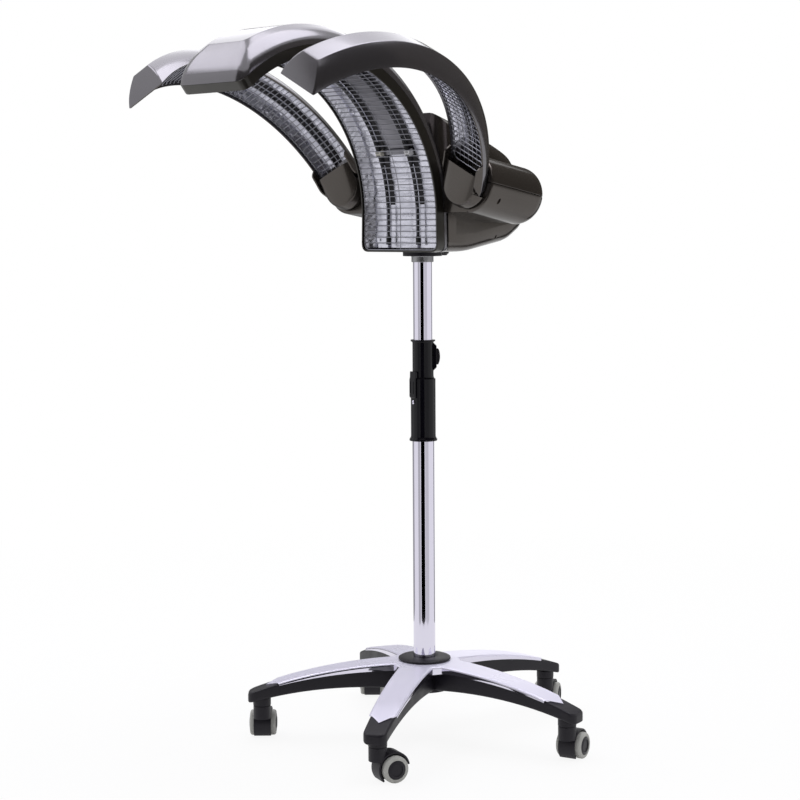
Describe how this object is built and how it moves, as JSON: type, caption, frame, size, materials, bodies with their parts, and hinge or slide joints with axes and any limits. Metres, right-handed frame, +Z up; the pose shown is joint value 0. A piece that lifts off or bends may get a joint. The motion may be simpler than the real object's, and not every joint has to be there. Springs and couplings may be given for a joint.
{
  "type": "hair color processor",
  "caption": "Salon hair color processor: curved infrared arms with wire guards on a swivelling casing, on a telescopic chrome pole and a star base with twin-wheel casters.",
  "frame": {"origin": "on the floor under the axis of the pole", "axes": "+Z up along the pole, -Y towards the client, where the arms reach, and +X to the right when seen from the client's side"},
  "size_m": [0.6816, 0.9157, 1.3586],
  "materials": {
    "shell_taupe": "glossy dark taupe grey lacquer",
    "frame_dark": "dark semi-gloss moulding",
    "chrome": "bright chrome plate",
    "black_gloss": "glossy black moulding",
    "black_plastic": "satin black moulding",
    "caster_tread": "matt light grey polyurethane",
    "reflector_foil": "crumpled bright foil",
    "guard_wire": "bright plated wire",
    "quartz_lamp": "dark quartz tube",
    "lamp_ceramic": "unglazed white ceramic",
    "plain_steel": "plain zinc-plated steel",
    "circuit_board": "green solder mask"
  },
  "bodies": {
    "stand": {"base_star": "black_plastic", "base_cover": "chrome", "hub_disc": "black_plastic", "base_plug": "plain_steel", "lower_tube": "chrome", "sleeve_body": "black_gloss", "sleeve_collar": "black_gloss", "sleeve_screw": "chrome"},
    "caster_1": {"caster_1_hood": "black_plastic"},
    "wheel_1_left": {"caster_1_wheel_left": "caster_tread"},
    "wheel_1_right": {"caster_1_wheel_right": "caster_tread"},
    "caster_2": {"caster_2_hood": "black_plastic"},
    "wheel_2_left": {"caster_2_wheel_left": "caster_tread"},
    "wheel_2_right": {"caster_2_wheel_right": "caster_tread"},
    "caster_3": {"caster_3_hood": "black_plastic"},
    "wheel_3_left": {"caster_3_wheel_left": "caster_tread"},
    "wheel_3_right": {"caster_3_wheel_right": "caster_tread"},
    "caster_4": {"caster_4_hood": "black_plastic"},
    "wheel_4_left": {"caster_4_wheel_left": "caster_tread"},
    "wheel_4_right": {"caster_4_wheel_right": "caster_tread"},
    "caster_5": {"caster_5_hood": "black_plastic"},
    "wheel_5_left": {"caster_5_wheel_left": "caster_tread"},
    "wheel_5_right": {"caster_5_wheel_right": "caster_tread"},
    "mast": {"upper_tube": "chrome", "guide_plug": "black_plastic"},
    "release": {"release_button": "black_plastic"},
    "latch": {"latch_lever": "black_gloss"},
    "head": {"neck_flange": "black_plastic", "upper_casing": "shell_taupe", "lower_casing": "shell_taupe", "cord_gland": "black_plastic", "control_panel": "black_plastic", "chassis_plate": "plain_steel", "control_board": "circuit_board", "centre_arm_shell": "shell_taupe", "centre_arm_frame": "frame_dark", "centre_grille": "guard_wire", "centre_reflector": "reflector_foil", "lamp_joint": "lamp_ceramic", "lower_lamp_left": "quartz_lamp", "upper_lamp_left": "quartz_lamp", "lower_lamp_right": "quartz_lamp", "upper_lamp_right": "quartz_lamp"},
    "timer": {"timer_knob": "black_gloss"},
    "switch": {"power_switch": "black_gloss"},
    "right_arm": {"right_elbow": "shell_taupe", "right_pivot_tube": "plain_steel", "right_arm_shell": "shell_taupe", "right_grille": "guard_wire", "right_reflector": "reflector_foil", "right_lamp": "quartz_lamp"},
    "left_arm": {"left_elbow": "shell_taupe", "left_pivot_tube": "plain_steel", "left_arm_shell": "shell_taupe", "left_grille": "guard_wire", "left_reflector": "reflector_foil", "left_lamp": "quartz_lamp"}
  },
  "joints": [
    {"name": "caster_1_swivel", "type": "hinge", "parent": "stand", "child": "caster_1", "pos_m": [0.31747, 0.04745, 0.067], "axis": [0, 0, 1], "continuous": true},
    {"name": "wheel_1_left_roll", "type": "hinge", "parent": "caster_1", "child": "wheel_1_left", "pos_m": [0.29446, 0.06914, 0.025], "axis": [-0.9781, -0.2079, 0], "continuous": true},
    {"name": "wheel_1_right_roll", "type": "hinge", "parent": "caster_1", "child": "wheel_1_right", "pos_m": [0.32968, 0.07662, 0.025], "axis": [-0.9781, -0.2079, 0], "continuous": true},
    {"name": "caster_2_swivel", "type": "hinge", "parent": "stand", "child": "caster_2", "pos_m": [0.05298, 0.3166, 0.067], "axis": [0, 0, 1], "continuous": true},
    {"name": "wheel_2_left_roll", "type": "hinge", "parent": "caster_2", "child": "wheel_2_left", "pos_m": [0.02514, 0.33159, 0.025], "axis": [-0.891, -0.454, 0], "continuous": true},
    {"name": "wheel_2_right_roll", "type": "hinge", "parent": "caster_2", "child": "wheel_2_right", "pos_m": [0.05721, 0.34794, 0.025], "axis": [-0.891, -0.454, 0], "continuous": true},
    {"name": "caster_3_swivel", "type": "hinge", "parent": "stand", "child": "caster_3", "pos_m": [-0.28473, 0.14822, 0.067], "axis": [0, 0, 1], "continuous": true},
    {"name": "wheel_3_left_roll", "type": "hinge", "parent": "caster_3", "child": "wheel_3_left", "pos_m": [-0.3155, 0.1555, 0.025], "axis": [-0.7431, -0.6691, 0], "continuous": true},
    {"name": "wheel_3_right_roll", "type": "hinge", "parent": "caster_3", "child": "wheel_3_right", "pos_m": [-0.28875, 0.17959, 0.025], "axis": [-0.7431, -0.6691, 0], "continuous": true},
    {"name": "caster_4_swivel", "type": "hinge", "parent": "stand", "child": "caster_4", "pos_m": [-0.22895, -0.22499, 0.067], "axis": [0, 0, 1], "continuous": true},
    {"name": "wheel_4_left_roll", "type": "hinge", "parent": "caster_4", "child": "wheel_4_left", "pos_m": [-0.25973, -0.21771, 0.025], "axis": [-0.7431, -0.6691, 0], "continuous": true},
    {"name": "wheel_4_right_roll", "type": "hinge", "parent": "caster_4", "child": "wheel_4_right", "pos_m": [-0.23297, -0.19363, 0.025], "axis": [-0.7431, -0.6691, 0], "continuous": true},
    {"name": "caster_5_swivel", "type": "hinge", "parent": "stand", "child": "caster_5", "pos_m": [0.14323, -0.28727, 0.067], "axis": [0, 0, 1], "continuous": true},
    {"name": "wheel_5_left_roll", "type": "hinge", "parent": "caster_5", "child": "wheel_5_left", "pos_m": [0.13574, -0.25655, 0.025], "axis": [-0.9336, 0.3584, 0], "continuous": true},
    {"name": "wheel_5_right_roll", "type": "hinge", "parent": "caster_5", "child": "wheel_5_right", "pos_m": [0.16935, -0.26945, 0.025], "axis": [-0.9336, 0.3584, 0], "continuous": true},
    {"name": "mast_height", "type": "slide", "parent": "stand", "child": "mast", "axis": [0, 0, 1], "range_m": [-0.14, 0.2]},
    {"name": "release_press", "type": "slide", "parent": "stand", "child": "release", "axis": [-0.7431, -0.6691, 0], "range_m": [0, 0.0025], "stiffness_N_per_m": 800},
    {"name": "latch_open", "type": "hinge", "parent": "stand", "child": "latch", "pos_m": [-0.00344, -0.02446, 0.672], "axis": [0.9903, -0.1392, 0], "range_deg": [0, 8], "stiffness_Nm_per_rad": 0.05},
    {"name": "head_turn", "type": "hinge", "parent": "mast", "child": "head", "pos_m": [0, 0, 0.945], "axis": [0, 0, 1], "range_deg": [-165, 165]},
    {"name": "timer_turn", "type": "hinge", "parent": "head", "child": "timer", "pos_m": [-0.024, 0.181, 1.1195], "axis": [0, 0.7291, 0.6844], "range_deg": [0, 300]},
    {"name": "switch_rock", "type": "hinge", "parent": "head", "child": "switch", "pos_m": [0.026, 0.18239, 1.1208], "axis": [1, 0, 0], "range_deg": [-5, 5]},
    {"name": "right_arm_swing", "type": "hinge", "parent": "head", "child": "right_arm", "pos_m": [0.155, -0.04, 1.083], "axis": [0, 0.9873, -0.159], "range_deg": [-26, 45]},
    {"name": "left_arm_swing", "type": "hinge", "parent": "head", "child": "left_arm", "pos_m": [-0.155, -0.04, 1.083], "axis": [0, -0.9873, 0.159], "range_deg": [-26, 45]}
  ]
}
